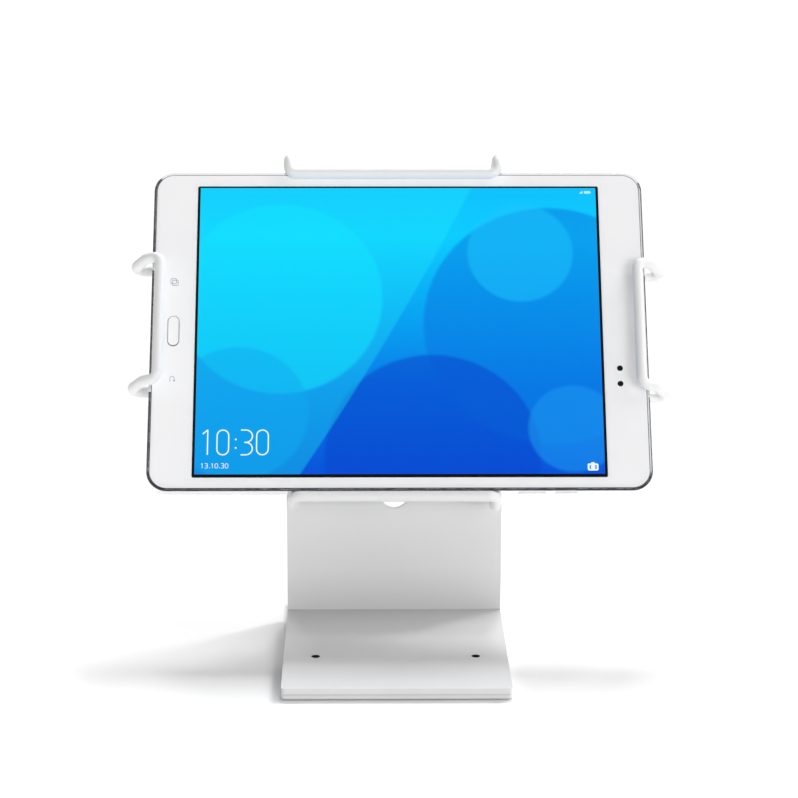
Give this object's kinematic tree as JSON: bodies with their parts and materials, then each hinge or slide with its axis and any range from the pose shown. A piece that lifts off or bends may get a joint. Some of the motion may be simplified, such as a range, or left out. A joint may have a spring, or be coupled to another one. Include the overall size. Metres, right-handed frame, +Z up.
{
  "type": "tablet kiosk stand",
  "caption": "Bent sheet counter stand that holds a tablet at a lean behind hooked rod arms, which slide out once a rear key lock frees them.",
  "frame": {"origin": "midway between the two counter screw holes, on the table", "axes": "+X along the counter screws, to the user's right; +Y away from the user; +Z up"},
  "size_m": [0.2642, 0.1963, 0.2216],
  "materials": {
    "white_powder_coat": "satin white powder coat",
    "zinc_steel": "zinc plated",
    "lock_chrome": "polished chrome plate",
    "brass": "turned brass",
    "nylon": "natural nylon",
    "pad_rubber": "fine-grained non-slip rubber",
    "white_glass": "gloss white, printed behind glass",
    "screen": "lit screen behind gloss glass",
    "rim_metal": "polished bright rim",
    "cover_white": "fine-textured white",
    "lens_black": "gloss black",
    "battery_foil": "foil pouch",
    "board": "green solder mask"
  },
  "bodies": {
    "stand": {"stand_frame": "white_powder_coat", "base_weight": "white_powder_coat", "base_pad": "pad_rubber", "weight_screws": "zinc_steel", "holder_shell": "white_powder_coat", "front_plate": "white_powder_coat", "grip_pads": "pad_rubber", "left_guide": "nylon", "right_guide": "nylon", "top_guide": "nylon", "bottom_guide": "nylon", "plate_screws": "zinc_steel", "vesa_inserts": "brass", "vesa_screws": "zinc_steel", "lock_body": "lock_chrome", "lock_nut": "zinc_steel", "spindle_bush": "brass", "tablet_front_panel": "white_glass", "tablet_display": "screen", "tablet_rim": "rim_metal", "tablet_rear_cover": "cover_white", "tablet_key_pin": "zinc_steel", "tablet_sensors": "lens_black", "tablet_camera_ring": "rim_metal", "tablet_camera_lens": "lens_black", "tablet_battery": "battery_foil", "tablet_main_board": "board"},
    "left_hook": {"left_arm": "white_powder_coat", "left_stop_pins": "zinc_steel"},
    "right_hook": {"right_arm": "white_powder_coat", "right_stop_pins": "zinc_steel"},
    "top_hook": {"top_arm": "white_powder_coat", "top_stop_pins": "zinc_steel"},
    "bottom_ledge": {"bottom_arm": "white_powder_coat", "bottom_stop_pins": "zinc_steel"},
    "lock": {"lock_plug": "lock_chrome", "lock_spindle": "zinc_steel"},
    "clamp": {"clamp_plate": "zinc_steel"},
    "home_button": {"tablet_home_button": "white_glass"},
    "power_key": {"tablet_power_key": "rim_metal"},
    "volume_key": {"tablet_volume_key": "rim_metal"}
  },
  "joints": [
    {"name": "left_arm_slide", "type": "slide", "parent": "stand", "child": "left_hook", "axis": [-1, 0, 0], "range_m": [-0.001, 0.025]},
    {"name": "right_arm_slide", "type": "slide", "parent": "stand", "child": "right_hook", "axis": [1, 0, 0], "range_m": [-0.001, 0.025]},
    {"name": "top_arm_slide", "type": "slide", "parent": "stand", "child": "top_hook", "axis": [0, 0.5592, 0.829], "range_m": [-0.004, 0.025]},
    {"name": "bottom_arm_slide", "type": "slide", "parent": "stand", "child": "bottom_ledge", "axis": [0, -0.5592, -0.829], "range_m": [0, 0.025]},
    {"name": "lock_turn", "type": "hinge", "parent": "stand", "child": "lock", "pos_m": [0, 0.11566, 0.12399], "axis": [0, 0.829, -0.5592], "range_deg": [0, 90]},
    {"name": "clamp_slide", "type": "slide", "parent": "stand", "child": "clamp", "axis": [0, 0.829, -0.5592], "range_m": [0, 0.0006]},
    {"name": "home_press", "type": "slide", "parent": "stand", "child": "home_button", "axis": [0, 0.829, -0.5592], "range_m": [0, 0.0004], "stiffness_N_per_m": 1500, "springref_m": -0.0003},
    {"name": "power_press", "type": "slide", "parent": "stand", "child": "power_key", "axis": [0, 0.5592, 0.829], "range_m": [0, 0.0003], "stiffness_N_per_m": 2000, "springref_m": -0.0003},
    {"name": "volume_rock", "type": "hinge", "parent": "stand", "child": "volume_key", "pos_m": [0.06565, 0.0435, 0.07388], "axis": [0, 0.829, -0.5592], "range_deg": [-2, 2], "stiffness_Nm_per_rad": 0.08}
  ],
  "couplings": [
    {"joint": "lock_turn", "follows": "clamp_slide", "rad_per_m": 2617.7}
  ]
}
